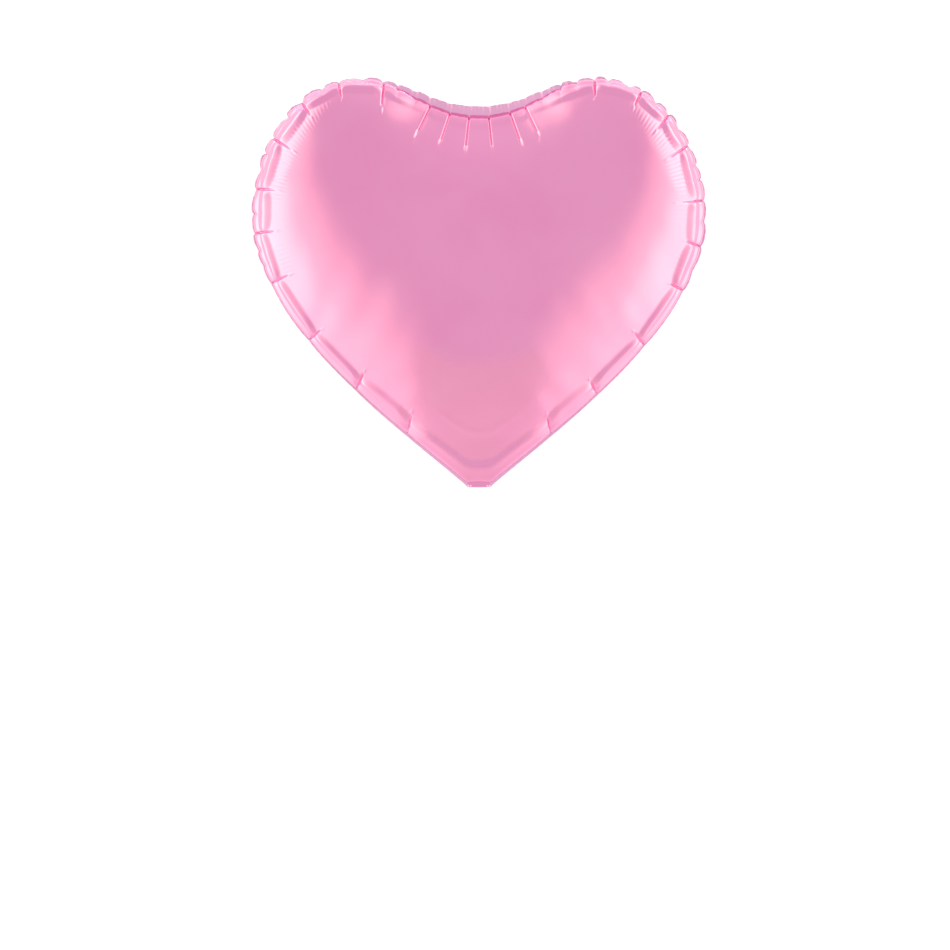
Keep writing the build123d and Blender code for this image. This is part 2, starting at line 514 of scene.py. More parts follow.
class Gathers:
    """Stations along the seam of its creases and of the notches between its petals."""

    def __init__(self, seed):
        rng = np.random.default_rng(seed)
        right = self.walk(rng)
        left = SEAM_LENGTH - self.walk(rng)[::-1]
        middle = SEAM_LENGTH / 2
        fan = middle + CLEFT_PITCH * (np.arange(FAN_CREASES) - (FAN_CREASES - 1) / 2)
        fan = fan + rng.uniform(-FAN_JITTER, FAN_JITTER, FAN_CREASES)
        self.creases = np.r_[right, fan, left]
        self.in_cleft = np.repeat([False, True, False], [len(right), FAN_CREASES, len(left)])
        self.notches = self.petals(rng)
        count = len(self.notches)
        self.lean = rng.uniform(-1, 1, count)
        self.skew = rng.uniform(-0.3, 0.3, count)
        self.rise = rng.uniform(0.55, 1.0, count)

    def walk(self, rng):
        """Creases up the right side and over the lobe, wide apart below and closer above."""
        place = SEAM.distance(np.array([FIRST_CREASE]))[0]
        end = SEAM.distance(np.array([LAST_CREASE]))[0]
        found = []
        while place < end:
            found.append(place)
            pitch = by_station(SEAM.station(np.array([place])), CREASE_ROWS)[0]
            place += pitch * rng.uniform(0.8, 1.2)
        return np.array(found)

    def petals(self, rng):
        """Every crease, and the notches that divide the gaps between them on the upper seam."""
        found = []
        ends = np.r_[self.creases, self.creases[0] + SEAM_LENGTH]
        for a, b in zip(ends[:-1], ends[1:]):
            found.append(a)
            station = SEAM.station(np.array([(a + b) / 2 % SEAM_LENGTH]))
            folded = np.where(station > CLEFT, STRETCHES - station, station)[0]
            parts = int(round((b - a) / PETAL_PITCH)) if folded > FIRST_PETAL else 1
            for k in range(1, parts):
                found.append(a + (b - a) * (k + rng.uniform(-0.14, 0.14)) / parts)
        return np.array(found)


def between(places, marks):
    """Which gap between the marks each place is in, how far across it (0 to 1), and the gap's length."""
    wrapped = np.r_[marks, marks[0] + SEAM_LENGTH]
    place = np.where(places < marks[0], places + SEAM_LENGTH, places)
    which = np.clip(np.searchsorted(wrapped, place, side="right") - 1, 0, len(marks) - 1)
    gap = wrapped[which + 1] - wrapped[which]
    return which, (place - wrapped[which]) / gap, gap


def apart(places, mark):
    """Signed distance along the seam from a mark."""
    return (places - mark + SEAM_LENGTH / 2) % SEAM_LENGTH - SEAM_LENGTH / 2


def notch_depth(places, gathers, depth):
    """How far the seam is drawn in: rounded petals with V notches between them."""
    which, across, _ = between(places, gathers.notches)
    skewed = across + gathers.skew[which] * np.sin(math.pi * across)
    swell = gathers.rise[which] * (1 - np.abs(2 * skewed - 1) ** PETAL_ROUND)
    station = SEAM.station(places % SEAM_LENGTH)
    return depth * by_station(station, NOTCH_ROWS) * (1 - swell)


# ---- The panel's fine mesh: rings in from the seam, then a lattice ----

RINGS = 46
RING_DEPTH = 46 * MM
HALVE_AT = (38, 43)        # rings from which every second point is left out
SEAM_STEP = 1.1 * MM
CREASE_STEP, CREASE_ZONE = 0.28 * MM, 1.5 * MM
NOTCH_STEP, NOTCH_ZONE = 0.5 * MM, 1.2 * MM
MIDDLE_STEP = 4.5 * MM
FAN_REACH = 0.55           # how much the cleft's creases spread, per unit of depth
FAN_WIDTH = 0.55           # stations on each side of the cleft over which they do
RING_ROUNDING = 0.4        # of a ring's depth, so that inner rings lose the outline's corners
EVEN_POINTS = 1024
SEAM_SAMPLES = 24000
MIDDLE_SEED = 5


def seam_places(gathers):
    """Places along the seam, closest at the creases and notches; a multiple of four of them."""
    fine = np.linspace(0, SEAM_LENGTH, SEAM_SAMPLES, endpoint=False)
    density = np.full(len(fine), 1 / SEAM_STEP)
    for marks, step, zone in (
        (gathers.creases, CREASE_STEP, CREASE_ZONE),
        (gathers.notches, NOTCH_STEP, NOTCH_ZONE),
    ):
        for mark in marks:
            near = np.exp(-((apart(fine, mark) / zone) ** 2))
            density = np.maximum(density, near / step)
    total = np.r_[0, np.cumsum(density) * (SEAM_LENGTH / len(fine))]
    count = int(total[-1] / 4) * 4
    return np.interp(np.arange(count) * total[-1] / count, total, np.r_[fine, SEAM_LENGTH])


def smoothed_loop(loop, width):
    """A closed loop of points, rounded off over a width."""
    gaps = np.linalg.norm(np.roll(loop, -1, 0) - loop, axis=1)
    place = np.r_[0, np.cumsum(gaps)]
    even = np.linspace(0, place[-1], EVEN_POINTS, endpoint=False)
    wrapped = np.vstack([loop, loop[:1]])
    resampled = np.stack([np.interp(even, place, wrapped[:, k]) for k in range(2)], 1)
    turns = np.fft.rfftfreq(EVEN_POINTS, place[-1] / EVEN_POINTS)
    keep = np.exp(-2 * (math.pi * turns * width) ** 2)[:, None]
    rounded = np.fft.irfft(np.fft.rfft(resampled, axis=0) * keep, EVEN_POINTS, axis=0)
    closed = np.vstack([rounded, rounded[:1]])
    full = np.r_[even, place[-1]]
    return np.stack([np.interp(place[:-1], full, closed[:, k]) for k in range(2)], 1)


class Net:
    """Points and faces of a panel, with each point's place and foot on the seam and its depth in."""

    def __init__(self, gathers):
        places = seam_places(gathers)
        stations = SEAM.station(places)
        feet = SEAM.at(stations)
        spread = (stations - CLEFT) * np.exp(-(((stations - CLEFT) / FAN_WIDTH) ** 4))
        points, rows = [], []
        place_of, depth_of, foot_of = [], [], []
        order = np.arange(len(places))
        start = 0
        self.faces = []
        for ring in range(RINGS + 1):
            depth = RING_DEPTH * (ring / RINGS) ** 2
            fanned = stations + FAN_REACH * spread * depth / RING_DEPTH
            curve = Outline(inset(GAS, depth)).at(fanned)
            curve = smoothed_loop(curve, RING_ROUNDING * depth) if ring else feet
            if ring in HALVE_AT:
                order = order[::2]
            points.append(curve[order])
            place_of.append(places[order])
            depth_of.append(np.full(len(order), depth))
            foot_of.append(feet[order])
            rows.append(start + np.arange(len(order)))
            start += len(order)
        for outer, inner in zip(rows[:-1], rows[1:]):
            self.join(outer, inner)
        loop = points[-1]
        middle = lattice(loop, MIDDLE_STEP, RING_DEPTH * 4, np.random.default_rng(MIDDLE_SEED))
        flat, faces = triangulated(loop, middle)
        offset = start - len(loop)
        self.faces += (faces + offset).tolist()
        extra = flat[len(loop) :]
        self.points = np.vstack(points + [extra])
        self.place = np.r_[np.concatenate(place_of), np.zeros(len(extra))]
        self.depth = np.r_[np.concatenate(depth_of), np.full(len(extra), 2 * RING_DEPTH)]
        self.foot = np.vstack(foot_of + [np.zeros((len(extra), 2))])
        self.station = SEAM.station(self.place % SEAM_LENGTH)

    def join(self, outer, inner):
        """Faces between two rings; the inner one may have half the points."""
        n = len(inner)
        after = np.roll(inner, -1)
        if len(outer) == n:
            quads = np.stack([outer, np.roll(outer, -1), after, inner], 1)
            self.faces += quads.tolist()
            return
        first, middle = outer[0::2], outer[1::2]
        last = np.roll(first, -1)
        for three in ((first, middle, inner), (middle, after, inner), (middle, last, after)):
            self.faces += np.stack(three, 1).tolist()


def normals_of(points, faces):
    """Smooth unit normals of a mesh of triangles and quads."""
    total = np.zeros_like(points)
    for size in (3, 4):
        some = np.array([f for f in faces if len(f) == size])
        if not len(some):
            continue
        a, b, c = points[some[:, 0]], points[some[:, 1]], points[some[:, size - 1]]
        normal = np.cross(b - a, c - a)
        for k in range(size):
            for axis in range(3):
                total[:, axis] += np.bincount(some[:, k], normal[:, axis], len(points))
    return total / (np.linalg.norm(total, axis=1)[:, None] + NO_LENGTH)


PILLOW_ROWS = ((0.0, 0.75), (1.0, 0.8), (1.4, 1.0), (3.1, 1.0), (3.45, 0.22), (4.0, 0.1))
NECK_CLEAR_ROWS = ((1.03, 0.2), (1.2, 1.0))    # the back panel stays flat where the neck folds up
PILLOW_CREST = 0.67        # share of a pillow's reach at which it stands highest
CREST_SHARPNESS = 8
PILLOW_TALL = (0.85, 1.12)
PILLOW_REACH = (0.9, 1.15)
PILLOW_SCALLOP = 0.22      # how much less a pillow reaches beside a crease
PILLOW_PINCH = 0.85        # how much lower it stands there
BAND = 14 * MM             # depth of the steep band that the pillows fill
PETAL_SWELL = 0.03         # of a petal's width
PETAL_REACH = 5.5 * MM
NOTCH_DEPTH, NOTCH_WIDTH, NOTCH_REACH = 0.7 * MM, 0.9 * MM, 3 * MM
CREASE_LENGTHS, CREASE_DEPTHS = (0.75, 1.2), (0.8, 1.15)    # spread of each, as shares
CREASE_WIDTHS = (0.55, 0.75)                                # mm
CREASE_SLANT = 0.1
CREASE_FADES = 0.75        # share of its length from which a crease fades
CLEFT_CREASE_WIDTH = 0.8   # the cleft's creases are pulled finer
SHOULDER = 0.08            # the film stands up a little on each side of a crease
TICK_AT, TICK_LENGTH, TICK_HEIGHT = 1.08, 0.1, 0.3
LONGEST_CREASE = 42 * MM
RIB_PITCH = 4.4 * MM
RIB_DRIFT = 31 * MM
RIB_START, RIB_END = 15 * MM, 28 * MM
RIB_EASE, RIB_FULL = 2 * MM, 6 * MM
RIB_ROWS = ((1.75, 0.0), (2.0, 0.7), (2.15, 1.0), (2.7, 1.0), (2.85, 0.3), (3.0, 0.0))
TIP_LINE = 30 * MM         # depth of the fold that runs round inside the tip
TIP_LINE_HEIGHT, TIP_LINE_WIDTH = 0.5 * MM, 1.6 * MM
TIP_LINE_ENDS = (1.02, 1.25)
CLEFT_LIP = 6 * MM         # depth over which the cleft's film leaves the seal at a slant
CLEFT_LIP_SLOPE = 1.5
CLEFT_LIP_ROWS = ((3.1, 0.0), (3.5, 1.0))
OVERHANG = 1.7 * MM        # how far the gas rolls each panel out over its own seam
OVERHANG_REACH = 5 * MM
OVERHANG_ROWS = ((0.0, 0.5), (1.0, 0.9), (2.0, 1.0), (3.2, 0.8), (3.5, 0.0))
PETAL_FADE, LEAN_FADE = 4 * MM, 3 * MM     # depths over which the seam's waves die out in the panel
SEAM_LEAN = 1.4 * MM


def hump(value, width):
    """1 at nought, and smoothly less on both sides of it."""
    return np.exp(-((value / width) ** 2))


def pillows(net, gathers, shape, side, rng):
    """The swell between two creases, ending in a scalloped line."""
    which, across, _ = between(net.place, gathers.creases)
    tall = rng.uniform(*PILLOW_TALL, len(gathers.creases))[which]
    reach = BAND * rng.uniform(*PILLOW_REACH, len(gathers.creases))[which]
    reach = reach * (1 - PILLOW_SCALLOP * np.abs(2 * across - 1) ** 3)
    share = np.clip(net.depth / reach, 0, 1)
    profile = lesser(share / PILLOW_CREST, (1 - share) / (1 - PILLOW_CREST), CREST_SHARPNESS)
    swell = 1 - PILLOW_PINCH * np.abs(2 * across - 1) ** 8
    clear = by_station(net.station, NECK_CLEAR_ROWS) if side > 0 else 1.0
    strength = by_station(net.station, PILLOW_ROWS) * clear
    return shape.pillow_height * tall * strength * swell * profile


def petal_swell(net, gathers):
    """The smaller swell of each petal, with a dip at the notches."""
    _, across, gap = between(net.place, gathers.notches)
    strength = by_station(net.station, NOTCH_ROWS)
    swell = 1 - np.abs(2 * across - 1) ** 2.2
    raised = PETAL_SWELL * gap * swell * np.exp(-((net.depth / PETAL_REACH) ** 1.5))
    to_notch = np.minimum(across, 1 - across) * gap
    dip = NOTCH_DEPTH * hump(to_notch, NOTCH_WIDTH) * (1 - eased(net.depth, 0.5 * MM, NOTCH_REACH))
    return strength * (raised - dip)


def creases(net, gathers, shape, rng):
    """The creases that run in from the seam, each with a pucker where it runs out."""
    moved = np.zeros(len(net.place))
    for k, mark in enumerate(gathers.creases):
        here = SEAM.station(np.array([mark % SEAM_LENGTH]))
        length = min(by_station(here, REACH_ROWS)[0] * rng.uniform(*CREASE_LENGTHS), LONGEST_CREASE)
        deep = shape.crease_depth * by_station(here, GATHER_ROWS)[0] * rng.uniform(*CREASE_DEPTHS)
        wide = rng.uniform(*CREASE_WIDTHS) * MM
        slant = 0.0
        if gathers.in_cleft[k]:
            wide *= CLEFT_CREASE_WIDTH
        else:
            slant = rng.uniform(-CREASE_SLANT, CREASE_SLANT)
        off = apart(net.place, mark) - slant * net.depth
        along = net.depth / length
        fade = (1 - eased(along, CREASE_FADES, 1.0)) * eased(net.depth, 0, 0.5 * MM)
        groove = hump(off, wide) - SHOULDER * hump(np.abs(off) - 2.4 * wide, 1.4 * wide)
        tick = hump(along - TICK_AT, TICK_LENGTH) * hump(off, 1.5 * wide)
        moved += deep * (TICK_HEIGHT * tick - fade * groove)
    return moved


def ribs(net, shape, side):
    """Fine ribs on the shoulders, just inside the band."""
    phase = 2 * math.pi * net.place / RIB_PITCH + 0.8 * np.sin(net.place / RIB_DRIFT) + side
    window = eased(net.depth, RIB_START - RIB_EASE, RIB_START + RIB_EASE)
    window = window * (1 - eased(net.depth, RIB_START + RIB_FULL, RIB_END))
    uneven = 0.65 + 0.35 * np.sin(net.place / (17 * MM) + 2 * side)
    return shape.rib_height * np.sin(phase) * window * uneven * by_station(net.station, RIB_ROWS)


def wrinkles(net, gathers, shape, side):
    """Displacement of every point of a panel along its normal."""
    rng = np.random.default_rng(shape.seed * 7 + 2 + side)
    moved = pillows(net, gathers, shape, side, rng) + petal_swell(net, gathers)
    folded = np.where(net.station > CLEFT, STRETCHES - net.station, net.station)
    tip_line = TIP_LINE_HEIGHT * hump(net.depth - TIP_LINE, TIP_LINE_WIDTH)
    tip_line = tip_line * (1 - eased(folded, *TIP_LINE_ENDS))
    fine = creases(net, gathers, shape, rng) + ribs(net, shape, side) + tip_line
    return moved + fine * (net.depth < RING_DEPTH * 1.5)


def panel_points(net, dome, gathers, shape, side):
    """The panel's points: the dome, wrinkled, its edge drawn in at the notches. side is -1 in front."""
    in_rings = net.depth < RING_DEPTH
    depth = dome.depth(net.points, net.foot, net.depth)
    lip = CLEFT_LIP_SLOPE * net.depth * (1 + (net.depth / CLEFT_LIP) ** 2) + 1e-6
    in_cleft = by_station(net.station, CLEFT_LIP_ROWS) * in_rings
    depth = depth * (1 - in_cleft) + lesser(depth, lip, TIP_SHARPNESS) * in_cleft
    points = np.c_[net.points[:, 0], depth, net.points[:, 1]]
    normals = normals_of(points, net.faces)
    if normals[:, 1].sum() < 0:
        normals = -normals
    points = points + normals * wrinkles(net, gathers, shape, side)[:, None]
    drawn = notch_depth(net.place, gathers, shape.petal_depth) * np.exp(-net.depth / PETAL_FADE)
    rolled = np.sin(math.pi * np.sqrt(np.clip(net.depth / OVERHANG_REACH, 0, 1)))
    drawn = drawn - OVERHANG * rolled * by_station(net.station, OVERHANG_ROWS)
    out = SEAM.out(net.station) * in_rings[:, None]
    points[:, [0, 2]] -= out * drawn[:, None]
    lean = seam_lean(net.place, gathers) * np.exp(-net.depth / LEAN_FADE)
    points[:, 1] = (np.maximum(points[:, 1], 0) + lean * side) * side
    return points


def seam_lean(places, gathers):
    """How far the seam wanders out of its plane, petal by petal."""
    which, across, _ = between(places, gathers.notches)
    strength = by_station(SEAM.station(places % SEAM_LENGTH), NOTCH_ROWS)
    return SEAM_LEAN * gathers.lean[which] * np.sin(math.pi * across) * strength


# ---- The seal ----

SEAL_ROWS = 9
RUFFLE_ROWS = ((1.0, 0.1), (1.5, 0.3), (2.4, 1.0), (4.0, 1.1))
SEAL_THICKNESS = 0.24 * MM
SEAL_LAP = SEAL_WIDTH - SEAL_SHOWN     # hidden between the panels
SEAL_DRAWN, SEAL_LEAN = 0.35, 1.3      # how much more the rim moves than the seam, inwards and sideways
RUFFLE_HEIGHT, RUFFLE_PITCH, RUFFLE_DRIFT = 0.5 * MM, 7.3 * MM, 23 * MM


def seal_points(gathers, shape):
    """Centre points of the fused band, row by row outwards, with its petals and ruffles."""
    places = seam_places(gathers)
    stations = SEAM.station(places)
    feet = SEAM.at(stations)
    out = SEAM.out(stations)
    rim = Outline(INFLATED).at(stations)
    drawn = notch_depth(places, gathers, shape.petal_depth)
    lean = seam_lean(places, gathers)
    ruffle = np.sin(2 * math.pi * places / RUFFLE_PITCH + 3 * np.sin(places / RUFFLE_DRIFT))
    ruffle *= RUFFLE_HEIGHT * by_station(stations, RUFFLE_ROWS)
    rows = []
    for k in range(SEAL_ROWS):
        share = k / (SEAL_ROWS - 1)
        base = feet * (1 - share) + rim * share - out * SEAL_LAP * (1 - share)
        base = base - out * (drawn * (1 + SEAL_DRAWN * share))[:, None]
        y = lean * (1 + SEAL_LEAN * share) + ruffle * share
        rows.append(np.c_[base[:, 0], y, base[:, 1]])
    return np.stack(rows), places


def strip_faces(rows, count, offset=0):
    """Quads of a closed strip of rows round the loop."""
    i = np.arange(count)
    j = (i + 1) % count
    faces = []
    for k in range(rows - 1):
        a, b = offset + k * count, offset + (k + 1) * count
        faces.append(np.stack([a + i, a + j, b + j, b + i], 1))
    return np.vstack(faces)


# ---- Blender pieces ----


def piece(name, points, faces, material):
    """A smooth mesh object."""
    mesh = bpy.data.meshes.new(name)
    mesh.from_pydata(np.asarray(points).tolist(), [], [list(f) for f in faces])
    mesh.validate()
    mesh.polygons.foreach_set("use_smooth", np.ones(len(mesh.polygons), bool))
    mesh.update()
    made = bpy.data.objects.new(name, mesh)
    bpy.context.scene.collection.objects.link(made)
    mesh.materials.append(material)
    return made


def node(tree, kind, **inputs):
    """A shader node with some of its sockets set."""
    made = tree.nodes.new(kind)
    for name, value in inputs.items():
        made.inputs[name.replace("_", " ")].default_value = value
    return made


def between_colours(tree, factor, low, high):
    """A colour that runs from low to high with a factor."""
    mix = tree.nodes.new("ShaderNodeMix")
    mix.data_type = "RGBA"
    mix.inputs["A"].default_value = low
    mix.inputs["B"].default_value = high
    tree.links.new(factor, mix.inputs["Factor"])
    return mix.outputs["Result"]


def remapped(tree, value, low, high):
    """A noise value spread over a range."""
    mapped = node(tree, "ShaderNodeMapRange", From_Min=0.3, From_Max=0.7, To_Min=low, To_Max=high)
    tree.links.new(value, mapped.inputs["Value"])
    return mapped.outputs["Result"]


def foil_material(name, light, dark, roughness, mottle):
    """Metallised film with a slightly uneven tint and gloss."""
    material = bpy.data.materials.new(name)
    material.use_nodes = True
    tree = material.node_tree
    shader = tree.nodes["Principled BSDF"]
    shader.inputs["Metallic"].default_value = 1.0
    where = tree.nodes.new("ShaderNodeTexCoord").outputs["Object"]
    cloud = node(tree, "ShaderNodeTexNoise", Scale=14.0, Detail=3.0, Roughness=0.5)
    grain = node(tree, "ShaderNodeTexNoise", Scale=mottle, Detail=4.0, Roughness=0.6)
    for texture in (cloud, grain):
        tree.links.new(where, texture.inputs["Vector"])
    colour = between_colours(tree, remapped(tree, cloud.outputs["Fac"], 0.0, 1.0), light, dark)
    tree.links.new(colour, shader.inputs["Base Color"])
    gloss = remapped(tree, grain.outputs["Fac"], roughness * 0.85, roughness * 1.2)
    tree.links.new(gloss, shader.inputs["Roughness"])
    return material, tree, shader, where


def add_relief(tree, shader, where, texture, output, strength, distance):
    """Fine relief from a texture."""
    bump = node(tree, "ShaderNodeBump", Strength=strength, Distance=distance)
    tree.links.new(where, texture.inputs["Vector"])
    tree.links.new(texture.outputs[output], bump.inputs["Height"])
    tree.links.new(bump.outputs["Normal"], shader.inputs["Normal"])


def panel_material():
    """The panels' film, with the faint orange peel of a thin sheet."""
    film = bpy.context.scene.balloon_film
    material, tree, shader, where = foil_material(
        "foil_film", film.pink, film.shade, film.roughness, 260.0
    )
    peel = node(tree, "ShaderNodeTexNoise", Scale=55.0, Detail=2.0, Roughness=0.45)
    add_relief(tree, shader, where, peel, "Fac", 0.05, 0.4 * MM)
    return material


def seal_material():
    """The fused band: milkier, rougher, and pressed by the sealing bar."""
    film = bpy.context.scene.balloon_film
    dusky = (*(0.86 * c for c in film.seal[:3]), 1)
    material, tree, shader, where = foil_material("foil_heat_seal", film.seal, dusky, 0.3, 500.0)
    press = node(tree, "ShaderNodeTexVoronoi", Scale=420.0)
    add_relief(tree, shader, where, press, "Distance", 0.35, 0.3 * MM)
    return material


def valve_material():
    """Clear film, a little milky where it is handled."""
    material = bpy.data.materials.new("valve_clear_film")
    material.use_nodes = True
    tree = material.node_tree
    shader = tree.nodes["Principled BSDF"]
    shader.inputs["IOR"].default_value = 1.5
    shader.inputs["Alpha"].default_value = 0.45
    where = tree.nodes.new("ShaderNodeTexCoord").outputs["Object"]
    haze = node(tree, "ShaderNodeTexNoise", Scale=90.0, Detail=4.0, Roughness=0.6)
    tree.links.new(where, haze.inputs["Vector"])
    clear = bpy.context.scene.balloon_film.valve
    milky = (0.97, 0.97, 0.98, 1)
    colour = between_colours(tree, remapped(tree, haze.outputs["Fac"], 0.0, 1.0), clear, milky)
    tree.links.new(colour, shader.inputs["Base Color"])
    tree.links.new(remapped(tree, haze.outputs["Fac"], 0.12, 0.3), shader.inputs["Roughness"])
    return material


def shared(name, maker):
    """A material made once and used by several pieces."""
    return bpy.data.materials.get(name) or maker()


AREA_POINTS = 2000


def cut_area(sizes):
    """Area inside a heart outline."""
    outline = Outline(sizes)
    loop = outline.at(outline.station(np.linspace(0, outline.starts[-1], AREA_POINTS, endpoint=False)))
    x, z = loop.T
    return 0.5 * abs((x * np.roll(z, -1) - z * np.roll(x, -1)).sum())


class BALLOON_OT_panels(bpy.types.Operator):
    """Inflate the two film panels and wrinkle them where the seam gathers them"""

    bl_idname = "balloon.panels"
    bl_label = "Film panels"

    def execute(self, context):
        shape = context.scene.balloon_shape
        gathers = Gathers(shape.seed)
        dome = Dome(*inflated_sheet())
        net = Net(gathers)
        crown = dome.depth(net.points, net.foot, net.depth).max()
        dome.scale = (HALF_DEPTH - CROWN_ROOM) / crown
        material = shared("foil_film", panel_material)
        for name, side in (("front_film_panel", -1), ("back_film_panel", 1)):
            points = panel_points(net, dome, gathers, shape, side)
            faces = net.faces if side < 0 else [f[::-1] for f in net.faces]
            made = piece(name, points, faces, material)
            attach(made, "envelope")
            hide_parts("front_panel" if side < 0 else "back_panel")
        return {"FINISHED"}


class BALLOON_OT_seal(bpy.types.Operator):
    """Build the fused band round the heart, with the petals between its gathers"""

    bl_idname = "balloon.seal"
    bl_label = "Heat seal"

    def execute(self, context):
        shape = context.scene.balloon_shape
        gathers = Gathers(shape.seed)
        rows, places = seal_points(gathers, shape)
        count = len(places)
        half = np.array([0, SEAL_THICKNESS / 2, 0])
        front = (rows - half).reshape(-1, 3)
        back = (rows + half).reshape(-1, 3)
        points = np.vstack([front, back])
        near = strip_faces(SEAL_ROWS, count)
        far = strip_faces(SEAL_ROWS, count, len(front))[:, ::-1]
        i = np.arange(count)
        j = (i + 1) % count
        last = (SEAL_ROWS - 1) * count
        lip = np.stack([last + i, last + j, len(front) + last + j, len(front) + last + i], 1)
        heel = np.stack([j, i, len(front) + i, len(front) + j], 1)
        faces = np.vstack([near, far, lip, heel])
        made = piece("heat_seal_band", points, faces, shared("foil_heat_seal", seal_material))
        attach(made, "envelope")
        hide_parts("heat_seal_rim")
        area = cut_area(inset(CUT, SEAL_WIDTH))
        return {"FINISHED"}


# ---- The neck: folded behind at the tip ----

NECK_MIDDLE = sum(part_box("neck_side_seals"), Vector()) / 2
NECK_LEAN = math.atan2(NECK_MIDDLE.y, NECK_MIDDLE.z)   # from straight up
NECK_LENGTH = 60 * MM
NECK_INSIDE = 8 * MM      # of ply that laps over the seal's tip
NECK_ROOT_HALF_WIDTH = 9.6 * MM
NECK_WIDENS = 6 * MM
NECK_SEAL_WIDTH = 3 * MM
VALVE_SETBACK = 3 * MM
FOLD_RADIUS = 0.8 * MM
FOLD_MARGIN, FOLD_ROWS = 1 * MM, 22
INSIDE_STEP, OUTSIDE_STEP = 1.5 * MM, 1.2 * MM
FLAT_BOW = 0.3 * MM
MOUTH_BOW = 5 * MM
FLARE_POWER = 1.3
PLY_COLUMNS, VALVE_COLUMNS = 25, 17
PLY_GAP, VALVE_GAP = 0.15 * MM, -0.2 * MM      # added to half the neck's opening
STRIP_THICKNESS, WELD_THICKNESS = 0.7 * MM, 0.12 * MM
STRIP_OVERHANG = 0.2 * MM
CRINKLE = 0.12 * MM


def fold_frame(along):
    """Centre (y, z) and outward normal (y, z) of the neck at distances past the start of its fold."""
    turn = math.pi - NECK_LEAN
    angle = np.clip(along / FOLD_RADIUS, 0, turn)
    past = np.maximum(along - turn * FOLD_RADIUS, 0)
    before = np.maximum(-along, 0)
    y = FOLD_RADIUS * (1 - np.cos(angle)) + past * math.sin(NECK_LEAN)
    z = FOLD_RADIUS * (1 - np.sin(angle)) + past * math.cos(NECK_LEAN) + before
    return y, z, -np.cos(angle), -np.sin(angle)


def neck_bow(along):
    """How far one side of the neck stands off its middle."""
    share = np.clip(along / NECK_LENGTH, 0, 1)
    return FLAT_BOW + (MOUTH_BOW - FLAT_BOW) * share**FLARE_POWER


def neck_stations(start, end):
    """Distances along the neck, close together round the fold."""
    turn = (math.pi - NECK_LEAN) * FOLD_RADIUS
    before = np.arange(start, -FOLD_MARGIN, INSIDE_STEP)
    fold = np.linspace(-FOLD_MARGIN, turn + FOLD_MARGIN, FOLD_ROWS)
    after = np.arange(turn + 2 * FOLD_MARGIN, end, OUTSIDE_STEP)
    return np.r_[before, fold, after, end]


def neck_half_width(along):
    """Half of the neck's width, which grows as it comes out of the tip."""
    return NECK_ROOT_HALF_WIDTH + (NECK_HALF_WIDTH - NECK_ROOT_HALF_WIDTH) * eased(along, 0, NECK_WIDENS)


def neck_sheet(along, across, side, gap, width):
    """Points of a film at along (rows) and across (-1 to 1, columns); side is 1 outside the fold."""
    s, u = np.meshgrid(along, across, indexing="ij")
    y, z, ny, nz = fold_frame(s)
    half = width(s)
    full = neck_half_width(s)
    bow = neck_bow(s) * (1 - np.minimum(np.abs(u * half / full), 1) ** 2)
    crinkle = CRINKLE * np.sin(s / (3.1 * MM) + 4 * u + side) * np.sin(3 * u * math.pi + s / (7 * MM))
    crinkle = crinkle * (1 - u**2) * eased(s, 3 * MM, 12 * MM)
    off = side * (gap + np.maximum(bow + crinkle, 0.05 * MM))
    points = np.stack([u * half, y + ny * off, z + nz * off], -1)
    return points.reshape(-1, 3)


def grid_faces(rows, columns):
    """Quads of an open grid."""
    i, j = np.meshgrid(np.arange(rows - 1), np.arange(columns - 1), indexing="ij")
    a = (i * columns + j).ravel()
    return np.stack([a, a + 1, a + columns + 1, a + columns], 1)


def edge_strip(along, low, high, thickness):
    """A thin closed strip along both edges of the neck or valve, as points and faces."""
    points, faces = [], []
    for hand in (-1, 1):
        y, z, ny, nz = fold_frame(along)
        start = sum(len(p) for p in points)
        corners = []
        for across, side in ((low, -1), (high, -1), (high, 1), (low, 1)):
            off = side * thickness / 2
            corners.append(np.stack([hand * across(along), y + ny * off, z + nz * off], -1))
        points.append(np.stack(corners, 1).reshape(-1, 3))
        for row in range(len(along) - 1):
            a = start + 4 * row
            for k in range(4):
                quad = (a + k, a + (k + 1) % 4, a + 4 + (k + 1) % 4, a + 4 + k)
                faces.append(quad if hand > 0 else quad[::-1])
        last = start + 4 * (len(along) - 1)
        ends = ((start + 3, start + 2, start + 1, start), (last, last + 1, last + 2, last + 3))
        faces += [end if hand > 0 else end[::-1] for end in ends]
    return np.vstack(points), faces


def across_fold(made, slot, *nodes):
    """Bakes a piece's placement into its points and hides the CAD nodes that it stands for."""
    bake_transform(made)
    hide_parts(*nodes)
    return made


class BALLOON_OT_neck(bpy.types.Operator):
    """Build the neck's two plies and its side seals, folded back at the tip"""

    bl_idname = "balloon.neck"
    bl_label = "Neck"

    def execute(self, context):
        along = neck_stations(-NECK_INSIDE, NECK_LENGTH)
        across = np.linspace(-1, 1, PLY_COLUMNS)
        film, sealed = shared("foil_film", panel_material), shared("foil_heat_seal", seal_material)
        for name, side, replaced in (
            ("neck_inner_ply", -1, "neck_front_ply"),
            ("neck_outer_ply", 1, "neck_back_ply"),
        ):
            points = neck_sheet(along, across, side, PLY_GAP, neck_half_width)
            faces = grid_faces(len(along), len(across))
            made = piece(name, points, faces if side < 0 else faces[:, ::-1], film)
            across_fold(made, "foil_panel", replaced)
        below = neck_stations(0, NECK_LENGTH)
        points, faces = edge_strip(
            below,
            lambda s: neck_half_width(s) - NECK_SEAL_WIDTH,
            lambda s: neck_half_width(s) + STRIP_OVERHANG,
            STRIP_THICKNESS,
        )
        made = piece("neck_side_seal_strips", points, faces, sealed)
        across_fold(made, "foil_seal", "neck_side_seals")
        return {"FINISHED"}


